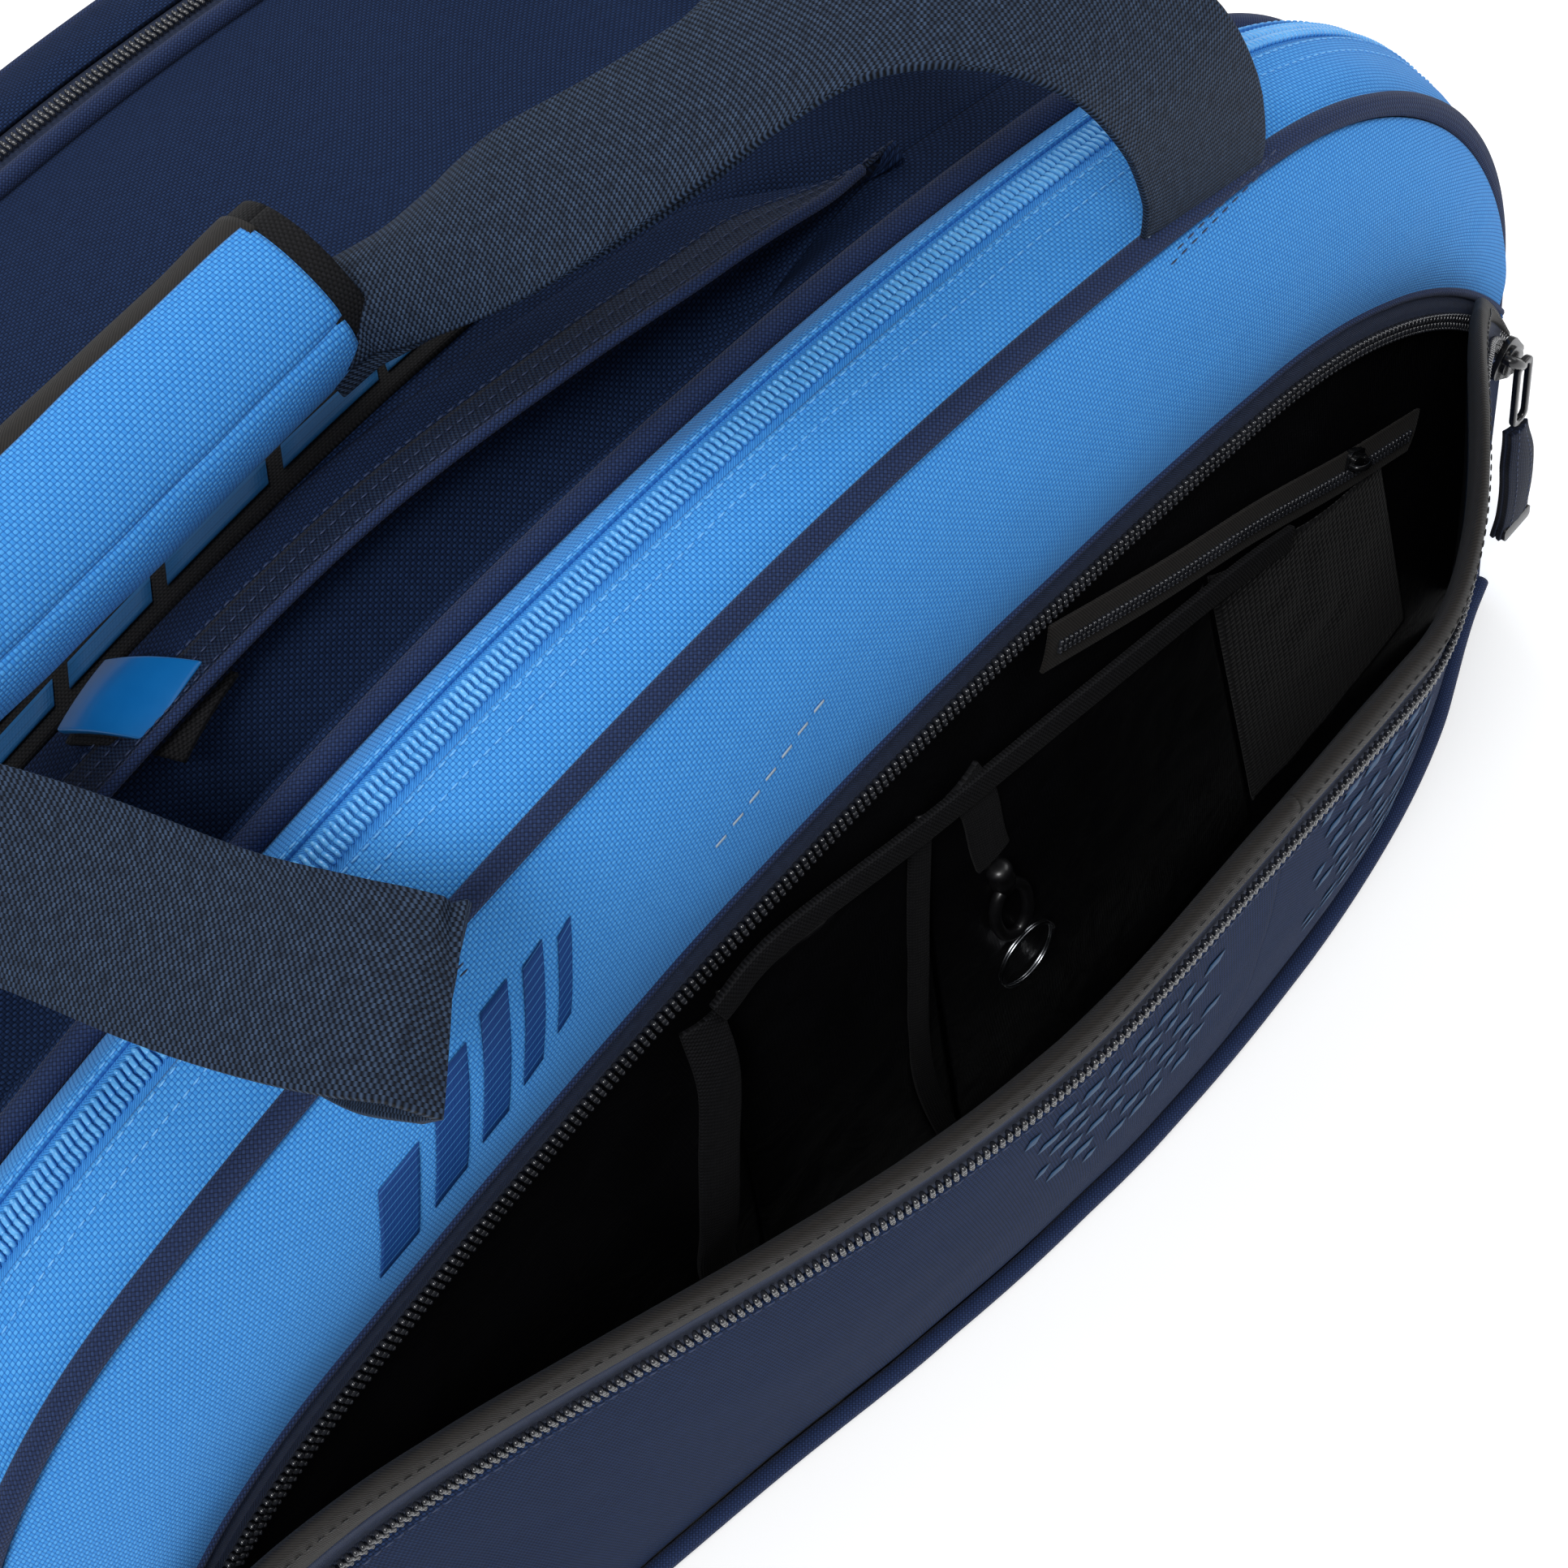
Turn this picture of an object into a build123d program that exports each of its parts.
"""Racket tournament bag: three racket compartments, an open front pocket and a wrapped carry handle.

Frame: X along the bag, -Y is the front, Z up, origin in the middle of the base.  Millimetres.
Every fabric panel is a plain shell of its own, so each compartment is really hollow.
"""
import os
from math import asin, atan2, cos, degrees, radians, sin, sqrt

from build123d import *

os.makedirs("parts", exist_ok=True)

# Driving dimensions of the bag
HALF_LENGTH = 290.0
HEIGHT = 322.0
TOP_RADIUS = 866.0
CORNER_RADIUS = 140.0
WALL = 2.0
PIPING = 6.0
GAP = 0.4
FOOT = 4.5
OPEN_UNDER = 10.0

# Stations along Y, front to back
FRONT = -165.0
FRONT_ZIP = -138.0
FRONT_SEAM = -120.0
MOUTH_FRONT = -106.0
MOUTH_BACK = -90.0
BACK_SEAM = 118.0
BACK_ZIP = 131.0
BACK = 170.0
ZIP_WIDTH = 10.0

# Front pocket
POCKET_HINGE_Y = -208.0
POCKET_HINGE_Z = 14.0
POCKET_CLOSED_LEAN = 9.2
POCKET_OPEN_ANGLE = 19.7
POCKET_LINE_TOP = 237.0
POCKET_LINE_RADIUS = 940.0
POCKET_CORNER_X = 172.0
POCKET_CORNER_RADIUS = 170.0
FLAP_LEFT = -200.0
FLAP_RIGHT = 200.0
FLAP_THICK = 2.0

# Webbing and handle
STRAP_WIDTH = 20.0
STRAP_THICK = 2.0
STRAP_SEAM_X = 153.0
GRIP_X = (-126.0, -8.0)
GRIP_Y = -54.0
GRIP_Z = 362.0
GRIP_RADIUS = 23.0
GRIP_BORE = 14.0


def save(piece, label):
    """Label a finished piece and write it as its own STEP file."""
    piece.part.label = label
    export_step(piece.part, f"parts/{label}.step")


def corner_centre(inset):
    """Centre of the rounded upper corner of the outline, moved in by inset."""
    across = HALF_LENGTH - CORNER_RADIUS
    rise = sqrt((TOP_RADIUS - CORNER_RADIUS) ** 2 - across ** 2)
    return across, HEIGHT - TOP_RADIUS + rise


def outline(inset, foot, mode=Mode.ADD):
    """The bag's face in the current sketch: arched top, round corners, straight sides to foot."""
    across, up = corner_centre(inset)
    turn = atan2(across, up - (HEIGHT - TOP_RADIUS))
    radius = CORNER_RADIUS - inset
    side = across + radius
    shoulder = (across + radius * sin(turn), up + radius * cos(turn))
    elbow = (across + radius * sin((turn + radians(90)) / 2), up + radius * cos((turn + radians(90)) / 2))
    crown = (0, HEIGHT - inset)
    with BuildLine() as rim:
        Line((-side, foot), (side, foot))
        Line((side, foot), (side, up))
        ThreePointArc((side, up), elbow, shoulder)
        ThreePointArc(shoulder, crown, (-shoulder[0], shoulder[1]))
        ThreePointArc((-shoulder[0], shoulder[1]), (-elbow[0], elbow[1]), (-side, up))
        Line((-side, up), (-side, foot))
    make_face(rim.edges(), mode=mode)


def face_plane(y):
    """A plane across the bag at y, with its sketch X along the bag and its sketch Y up."""
    return Plane(origin=(0, y, 0), x_dir=(1, 0, 0), z_dir=(0, -1, 0))


def ring(label, start, end, inset=0.0, wall=WALL, foot=FOOT):
    """A gusset: a band of the outline from start to end along Y, open underneath."""
    with BuildPart() as band:
        with BuildSketch(face_plane(end)):
            outline(inset, foot)
            outline(inset + wall, foot - OPEN_UNDER, mode=Mode.SUBTRACT)
        extrude(amount=end - start)
    save(band, label)


def panel(label, start, end, inset=0.0, foot=FOOT):
    """A full panel or divider of the outline between two stations."""
    with BuildPart() as plate:
        with BuildSketch(face_plane(end)):
            outline(inset, foot)
        extrude(amount=end - start)
    save(plate, label)


def top_height(x):
    """Height of the bag's arched top at x, between the round corners."""
    return HEIGHT - TOP_RADIUS + sqrt(TOP_RADIUS ** 2 - x ** 2)


def top_strip(label, left, right, start, end, low, high):
    """A strip that follows the arched top from left to right, between two heights above it."""
    middle = (left + right) / 2
    with BuildPart() as strip:
        with BuildSketch(face_plane(end)):
            with BuildLine():
                ThreePointArc(
                    (left, top_height(left) + low),
                    (middle, top_height(middle) + low),
                    (right, top_height(right) + low),
                )
                Line((right, top_height(right) + low), (right, top_height(right) + high))
                ThreePointArc(
                    (right, top_height(right) + high),
                    (middle, top_height(middle) + high),
                    (left, top_height(left) + high),
                )
                Line((left, top_height(left) + high), (left, top_height(left) + low))
            make_face()
        extrude(amount=end - start)
    save(strip, label)


def zip_line_end(drop):
    """Right-hand end of the pocket's zip line, moved down by drop."""
    start = zip_line_height(POCKET_CORNER_X) - drop
    turn = asin(POCKET_CORNER_X / POCKET_LINE_RADIUS)
    reach = HALF_LENGTH - 4 - POCKET_CORNER_X
    full = asin(reach / POCKET_CORNER_RADIUS + sin(turn))
    return HALF_LENGTH - 4, start - POCKET_CORNER_RADIUS * (cos(turn) - cos(full))


def zip_line_height(x):
    """Height of the pocket's zip line at x, on its long middle arc."""
    return POCKET_LINE_TOP - POCKET_LINE_RADIUS + sqrt(POCKET_LINE_RADIUS ** 2 - x ** 2)


def zip_corner_mid(drop):
    """A point halfway round the zip line's right-hand corner, moved down by drop."""
    turn = asin(POCKET_CORNER_X / POCKET_LINE_RADIUS)
    reach = HALF_LENGTH - 4 - POCKET_CORNER_X
    full = asin(reach / POCKET_CORNER_RADIUS + sin(turn))
    half = (turn + full) / 2
    x = POCKET_CORNER_X + POCKET_CORNER_RADIUS * (sin(half) - sin(turn))
    return x, zip_line_height(POCKET_CORNER_X) - drop - POCKET_CORNER_RADIUS * (cos(turn) - cos(half))


def zip_edge(drop):
    """Draw the whole pocket zip line, left to right, moved down by drop; returns its two ends."""
    end = zip_line_end(drop)
    mid = zip_corner_mid(drop)
    joint = (POCKET_CORNER_X, zip_line_height(POCKET_CORNER_X) - drop)
    ThreePointArc((-end[0], end[1]), (-mid[0], mid[1]), (-joint[0], joint[1]))
    ThreePointArc((-joint[0], joint[1]), (0, POCKET_LINE_TOP - drop), joint)
    ThreePointArc(joint, mid, end)
    return (-end[0], end[1]), end


# Base
with BuildPart() as base_panel:
    with BuildSketch():
        with Locations((0, (FRONT + BACK) / 2)):
            RectangleRounded(2 * HALF_LENGTH - 2, BACK - FRONT - 2, 18)
    extrude(amount=4)
save(base_panel, "base_panel")

# Front compartment: blue panel and gusset with its zip
panel("front_panel", FRONT, FRONT + WALL, inset=PIPING)
ring("front_piping", FRONT - 1, FRONT + WALL, inset=0, wall=PIPING - GAP)
ring("front_gusset_fore", FRONT + WALL + GAP, FRONT_ZIP - ZIP_WIDTH / 2 - GAP)
ring("front_zip", FRONT_ZIP - ZIP_WIDTH / 2, FRONT_ZIP + ZIP_WIDTH / 2, inset=-1)
ring("front_gusset_aft", FRONT_ZIP + ZIP_WIDTH / 2 + GAP, FRONT_SEAM - GAP)
panel("front_divider", FRONT_SEAM, FRONT_SEAM + WALL, inset=WALL + 1)
ring("seam_piping", FRONT_SEAM, FRONT_SEAM + PIPING, inset=-1, wall=WALL + 1)

# Centre compartment: one navy shell with the long mouth cut in its top
with BuildPart() as centre_shell:
    with BuildSketch(face_plane(BACK_SEAM - GAP)):
        outline(0, FOOT)
        outline(WALL, FOOT - OPEN_UNDER, mode=Mode.SUBTRACT)
    extrude(amount=BACK_SEAM - GAP - (FRONT_SEAM + PIPING + GAP))
    with BuildSketch(Plane.XY.offset(HEIGHT - 60)):
        with Locations((-40, (MOUTH_FRONT + MOUTH_BACK) / 2)):
            RectangleRounded(340, MOUTH_BACK - MOUTH_FRONT, 7)
    extrude(amount=80, mode=Mode.SUBTRACT)
save(centre_shell, "centre_shell")
top_strip("centre_lip", -205, 126, MOUTH_BACK - 3, MOUTH_BACK + 12, 0.5, 5.0)
top_strip("logo_band", -225, 225, -62, -22, 0.5, 2.5)
panel("back_divider", BACK_SEAM, BACK_SEAM + WALL, inset=WALL + 1)

# Badge on its short piece of webbing, lying askew over the lip
BADGE_X = -90.0
BADGE_TURN = (cos(radians(30)), -sin(radians(30)), 0)
BADGE_FLOOR = top_height(BADGE_X) + 6.5
with BuildPart() as badge_webbing:
    with BuildSketch(Plane(origin=(BADGE_X + 3, -77, BADGE_FLOOR), x_dir=BADGE_TURN, z_dir=(0, 0, 1))):
        Rectangle(22, 38)
    extrude(amount=1.5)
save(badge_webbing, "badge_webbing")
with BuildPart() as rubber_badge:
    with BuildSketch(Plane(origin=(BADGE_X - 3, -72, BADGE_FLOOR + 1.8), x_dir=BADGE_TURN, z_dir=(0, 0, 1))):
        RectangleRounded(21, 25, 2)
    extrude(amount=3)
save(rubber_badge, "rubber_badge")

# Back compartment
ring("back_piping", BACK_SEAM, BACK_SEAM + PIPING, inset=-1, wall=WALL + 1)
ring("back_zip", BACK_ZIP - ZIP_WIDTH / 2 + GAP, BACK_ZIP + ZIP_WIDTH / 2, inset=-1)
ring("back_gusset", BACK_ZIP + ZIP_WIDTH / 2 + GAP, BACK - WALL - GAP)
panel("back_panel", BACK - WALL, BACK, inset=PIPING)
ring("back_edge_piping", BACK - WALL, BACK + 1, inset=0, wall=PIPING - GAP)

# Front pocket: lining on the bag's face, zip half, floor, cheeks
with BuildPart() as pocket_lining:
    with BuildSketch(face_plane(FRONT - 1.5)):
        with BuildLine():
            left_end, right_end = zip_edge(12)
            Line(right_end, (right_end[0], 16))
            Line((right_end[0], 16), (left_end[0], 16))
            Line((left_end[0], 16), left_end)
        make_face()
    extrude(amount=1.0)
save(pocket_lining, "pocket_lining")

with BuildPart() as pocket_zip_upper:
    with BuildSketch(face_plane(FRONT - 1.5)):
        with BuildLine():
            left_end, right_end = zip_edge(0)
            Line(right_end, zip_line_end(11))
            zip_edge(11)
            Line((left_end[0], zip_line_end(11)[1]), left_end)
        make_face()
    extrude(amount=2.5)
save(pocket_zip_upper, "pocket_zip_upper")

FLOOR_FRONT = POCKET_HINGE_Y + 3
with BuildPart() as pocket_floor:
    with BuildSketch(Plane.XY.offset(5)):
        with BuildLine():
            ThreePointArc((-HALF_LENGTH + 8, FRONT - 8), (0, FLOOR_FRONT), (HALF_LENGTH - 8, FRONT - 8))
            Line((HALF_LENGTH - 8, FRONT - 8), (HALF_LENGTH - 8, FRONT - 2.5))
            Line((HALF_LENGTH - 8, FRONT - 2.5), (-HALF_LENGTH + 8, FRONT - 2.5))
            Line((-HALF_LENGTH + 8, FRONT - 2.5), (-HALF_LENGTH + 8, FRONT - 8))
        make_face()
    extrude(amount=3)
save(pocket_floor, "pocket_floor")

with BuildPart() as pocket_piping:
    with BuildSketch():
        with BuildLine():
            ThreePointArc((-HALF_LENGTH + 6, FRONT - 12), (0, FLOOR_FRONT - 6), (HALF_LENGTH - 6, FRONT - 12))
            Line((HALF_LENGTH - 6, FRONT - 12), (HALF_LENGTH - 6, FRONT - 9))
            ThreePointArc((HALF_LENGTH - 6, FRONT - 9), (0, FLOOR_FRONT - 0.5), (-HALF_LENGTH + 6, FRONT - 9))
            Line((-HALF_LENGTH + 6, FRONT - 9), (-HALF_LENGTH + 6, FRONT - 12))
        make_face()
    extrude(amount=8)
save(pocket_piping, "pocket_piping")

REST_LEAN = radians(POCKET_CLOSED_LEAN - POCKET_OPEN_ANGLE)


def flap_plane(offset):
    """The flap's plane as it stands open: sketch Y runs from the hinge to the rim."""
    normal = Vector(0, -cos(REST_LEAN), sin(REST_LEAN))
    origin = Vector(0, POCKET_HINGE_Y, POCKET_HINGE_Z) + normal * offset
    return Plane(origin=origin, x_dir=(1, 0, 0), z_dir=normal)


def flap_rim(x, below):
    """Distance from the hinge to a line that runs below the zip line at x."""
    return (zip_line_height(x) - POCKET_HINGE_Z) / cos(radians(POCKET_CLOSED_LEAN)) - below


def flap_band(label, low, high, start, thick, side=0.0):
    """Part of the flap between two distances below the zip line, moving with the flap."""
    left, right = FLAP_LEFT + side, FLAP_RIGHT - side
    with BuildPart() as band:
        with BuildSketch(flap_plane(start)):
            with BuildLine():
                ThreePointArc((left, flap_rim(left, low)), (0, flap_rim(0, low)), (right, flap_rim(right, low)))
                Line((right, flap_rim(right, low)), (right, flap_rim(right, high)))
                ThreePointArc(
                    (right, flap_rim(right, high)), (0, flap_rim(0, high)), (left, flap_rim(left, high))
                )
                Line((left, flap_rim(left, high)), (left, flap_rim(left, low)))
            make_face()
        extrude(amount=thick)
    save(band, label)


with BuildPart() as pocket_flap:
    with BuildSketch(flap_plane(-1)):
        with BuildLine():
            Line((FLAP_LEFT, 0), (FLAP_RIGHT, 0))
            Line((FLAP_RIGHT, 0), (FLAP_RIGHT, flap_rim(FLAP_RIGHT, 22)))
            ThreePointArc(
                (FLAP_RIGHT, flap_rim(FLAP_RIGHT, 22)), (0, flap_rim(0, 22)), (FLAP_LEFT, flap_rim(FLAP_LEFT, 22))
            )
            Line((FLAP_LEFT, flap_rim(FLAP_LEFT, 22)), (FLAP_LEFT, 0))
        make_face()
    extrude(amount=FLAP_THICK)
save(pocket_flap, "pocket_flap")
flap_band("flap_zip", 14, 21.7, -1, 2.0)
flap_band("flap_hem", 1, 13.7, -1.6, 3.0)

CHEEK_INNER = FLAP_RIGHT + 1
CHEEK_FRONT = FRONT - 15
CHEEK_TOP = 18
for side, label in ((-1, "pocket_cheek_left"), (1, "pocket_cheek_right")):
    with BuildPart() as cheek:
        with BuildSketch(Plane.XY.offset(8.5)):
            with BuildLine():
                Polyline(
                    (side * CHEEK_INNER, CHEEK_FRONT),
                    (side * (HALF_LENGTH - 6), FRONT - 7.5),
                    (side * (HALF_LENGTH - 6), FRONT - 5),
                    (side * CHEEK_INNER, CHEEK_FRONT + 2.5),
                    close=True,
                )
            make_face()
        extrude(amount=230)
        with BuildSketch(face_plane(FRONT)):
            with BuildLine():
                left_end, right_end = zip_edge(CHEEK_TOP)
                Line(right_end, (right_end[0], 400))
                Line((right_end[0], 400), (left_end[0], 400))
                Line((left_end[0], 400), left_end)
            make_face()
        extrude(amount=60, mode=Mode.SUBTRACT)
    save(cheek, label)

# Organiser inside the pocket, sewn to the lining
with BuildPart() as organiser_pocket:
    with BuildSketch(face_plane(FRONT - 3.6)):
        with BuildLine():
            Polyline((-110, 30), (150, 30), (150, 166), (-30, 215), (-110, 215), close=True)
        make_face()
    extrude(amount=0.9)
save(organiser_pocket, "organiser_pocket")

with BuildPart() as organiser_binding:
    with BuildSketch(face_plane(FRONT - 3.6)):
        with BuildLine():
            Polyline((150, 166.6), (-30, 215.6), (-30, 219), (150, 171), close=True)
        make_face()
    extrude(amount=2)
save(organiser_binding, "organiser_binding")

with BuildPart() as pen_loop:
    with BuildSketch(face_plane(FRONT - 5)):
        with Locations((-72, 140)):
            Rectangle(18, 120)
    extrude(amount=1.2)
save(pen_loop, "pen_loop")

with BuildPart() as mesh_pocket:
    with BuildSketch(face_plane(FRONT - 3.6)):
        with BuildLine():
            Polyline((160, 40), (235, 40), (235, 150), (160, 186), close=True)
        make_face()
    extrude(amount=0.9)
save(mesh_pocket, "mesh_pocket")

MESH_ZIP_START = (84.0, 213.0)
MESH_ZIP_END = (232.0, 158.0)
MESH_ZIP_RUN = (MESH_ZIP_END[0] - MESH_ZIP_START[0], MESH_ZIP_END[1] - MESH_ZIP_START[1])
MESH_ZIP_LENGTH = sqrt(MESH_ZIP_RUN[0] ** 2 + MESH_ZIP_RUN[1] ** 2)
MESH_ZIP_MIDDLE = ((MESH_ZIP_START[0] + MESH_ZIP_END[0]) / 2, (MESH_ZIP_START[1] + MESH_ZIP_END[1]) / 2)
MESH_TILT = degrees(atan2(MESH_ZIP_RUN[1], MESH_ZIP_RUN[0]))
with BuildPart() as mesh_zip:
    with BuildSketch(face_plane(FRONT - 6)):
        with Locations(MESH_ZIP_MIDDLE):
            Rectangle(MESH_ZIP_LENGTH, 12, rotation=MESH_TILT)
    extrude(amount=1.0)
save(mesh_zip, "mesh_zip")

with BuildPart() as mesh_slider:
    with BuildSketch(face_plane(FRONT - 7.4)):
        with Locations((205, 168)):
            Rectangle(9, 7, rotation=MESH_TILT)
    extrude(amount=2.4)
save(mesh_slider, "mesh_slider")

# Key hook on its webbing
HOOK_X = 40.0
HOOK_Z = 165.0
HOOK_Y = FRONT - 9.4
with BuildPart() as key_webbing:
    with BuildSketch(face_plane(FRONT - 6)):
        with Locations((HOOK_X, HOOK_Z + 23)):
            Rectangle(14, 40)
    extrude(amount=1.4)
save(key_webbing, "key_webbing")
with BuildPart() as key_hook:
    with Locations((HOOK_X, HOOK_Y, HOOK_Z - 6)):
        Cylinder(4.0, 8)
    with Locations((HOOK_X, HOOK_Y, HOOK_Z - 12)):
        Cylinder(3.0, 8)
    with BuildSketch(face_plane(HOOK_Y + 2)):
        with Locations((HOOK_X, HOOK_Z - 28)):
            SlotOverall(32, 16, rotation=90)
            SlotOverall(25, 9, rotation=90, mode=Mode.SUBTRACT)
    extrude(amount=4)
save(key_hook, "key_hook")
with BuildPart() as key_ring:
    with BuildSketch(face_plane(HOOK_Y + 1)):
        with Locations((HOOK_X, HOOK_Z - 58)):
            Circle(12.5)
            Circle(10.5, mode=Mode.SUBTRACT)
    extrude(amount=2)
save(key_ring, "key_ring")

# Pocket slider with its pull and tab, parked at the right-hand end of the zip
SLIDER_X, SLIDER_Z = zip_line_end(6)
SLIDER_X = SLIDER_X - 8
SLIDER_Z = SLIDER_Z + 8
SLIDER_Y = FRONT - 10.4
with BuildPart() as pocket_slider:
    with BuildSketch(face_plane(SLIDER_Y)):
        with Locations((SLIDER_X, SLIDER_Z)):
            Trapezoid(16, 13, 80, rotation=45)
    extrude(amount=5)
    fillet(pocket_slider.edges().filter_by(Axis.Y), 2)
save(pocket_slider, "pocket_slider")
PULL_Y = SLIDER_Y - 5.8
with BuildPart() as pocket_pull:
    with BuildSketch(face_plane(PULL_Y)):
        with Locations((SLIDER_X + 2, SLIDER_Z - 14.5)):
            RectangleRounded(9, 31, 3)
        with Locations((SLIDER_X + 2, SLIDER_Z - 25)):
            RectangleRounded(5, 5, 1, mode=Mode.SUBTRACT)
    extrude(amount=2)
save(pocket_pull, "pocket_pull")
with BuildPart() as pull_tab:
    with BuildSketch(face_plane(PULL_Y)):
        with Locations((SLIDER_X + 2, SLIDER_Z - 58)):
            RectangleRounded(17, 54, 3)
    extrude(amount=3)
save(pull_tab, "pull_tab")

# Compartment sliders, parked low on the right-hand side
PARK_Z = 62.0
SIDE_X = HALF_LENGTH + 1 + GAP
for label, y in (("front", FRONT_ZIP), ("back", BACK_ZIP)):
    with BuildPart() as slider:
        with BuildSketch(Plane(origin=(SIDE_X, y, PARK_Z), x_dir=(0, 1, 0), z_dir=(1, 0, 0))):
            Trapezoid(11, 15, 82)
        extrude(amount=5)
        fillet(slider.edges().filter_by(Axis.X), 2)
    save(slider, f"{label}_slider")
    with BuildPart() as pull:
        with BuildSketch(Plane(origin=(SIDE_X + 5.8, y, PARK_Z - 24), x_dir=(0, 1, 0), z_dir=(1, 0, 0))):
            RectangleRounded(9, 50, 3)
        extrude(amount=2.4)
    save(pull, f"{label}_pull")

# Handle: straps from the two seams to the wrapped grip
with BuildPart() as grip_wrap:
    with BuildSketch(Plane(origin=(GRIP_X[0], GRIP_Y, GRIP_Z), x_dir=(0, 1, 0), z_dir=(1, 0, 0))):
        Circle(GRIP_RADIUS)
        Circle(GRIP_BORE, mode=Mode.SUBTRACT)
    extrude(amount=GRIP_X[1] - GRIP_X[0])
save(grip_wrap, "grip_wrap")
with BuildPart() as grip_core:
    with BuildSketch(Plane(origin=(GRIP_X[0] - 4, GRIP_Y, GRIP_Z), x_dir=(0, 1, 0), z_dir=(1, 0, 0))):
        Circle(GRIP_BORE - 0.5)
    extrude(amount=GRIP_X[1] - GRIP_X[0] + 8)
save(grip_core, "grip_core")


def strap(label, seam_y, side, grip_end, lead):
    """One end of a carry strap: up from its seam and over to the end of the grip."""
    foot = Vector(side * STRAP_SEAM_X, seam_y, top_height(STRAP_SEAM_X) + 7)
    high = Vector(side * STRAP_SEAM_X * 0.72 + lead, seam_y * 0.75 + GRIP_Y * 0.25, GRIP_Z + 8)
    end = Vector(grip_end, GRIP_Y + (12 if seam_y > GRIP_Y else -12), GRIP_Z)
    with BuildPart() as webbing:
        for start, stop in ((foot, high), (high, end)):
            run = stop - start
            with BuildSketch(Plane(origin=start, x_dir=(0, 1, 0), z_dir=run.normalized())):
                Rectangle(STRAP_WIDTH, STRAP_THICK)
            extrude(amount=run.length)
    save(webbing, label)


strap("front_strap_right", FRONT + 4, 1, GRIP_X[1] + 13, 0)
strap("front_strap_left", FRONT + 4, -1, GRIP_X[0] - 13, -70)
strap("back_strap_right", BACK_SEAM - 4, 1, GRIP_X[1] + 13, 0)
strap("back_strap_left", BACK_SEAM - 4, -1, GRIP_X[0] - 13, -70)

# Shoulder straps folded flat on the back, with webbing and buckles
for side, word in ((-1, "left"), (1, "right")):
    with BuildPart() as shoulder_strap:
        with BuildSketch(face_plane(BACK + 1.5 + 9)):
            with Locations((side * 85, 205)):
                SlotOverall(180, 60, rotation=90 + side * 6)
        extrude(amount=9)
    save(shoulder_strap, f"shoulder_strap_{word}")
    with BuildPart() as strap_webbing:
        with BuildSketch(face_plane(BACK + 1.5 + 2)):
            with Locations((side * 112, 62)):
                Rectangle(25, 78, rotation=side * 22)
        extrude(amount=1.6)
    save(strap_webbing, f"shoulder_webbing_{word}")
    with BuildPart() as buckle:
        with BuildSketch(face_plane(BACK + 5.5 + 4)):
            with Locations((side * 100, 100)):
                RectangleRounded(32, 24, 3)
                RectangleRounded(26, 5, 1, mode=Mode.SUBTRACT)
        extrude(amount=4)
    save(buckle, f"shoulder_buckle_{word}")
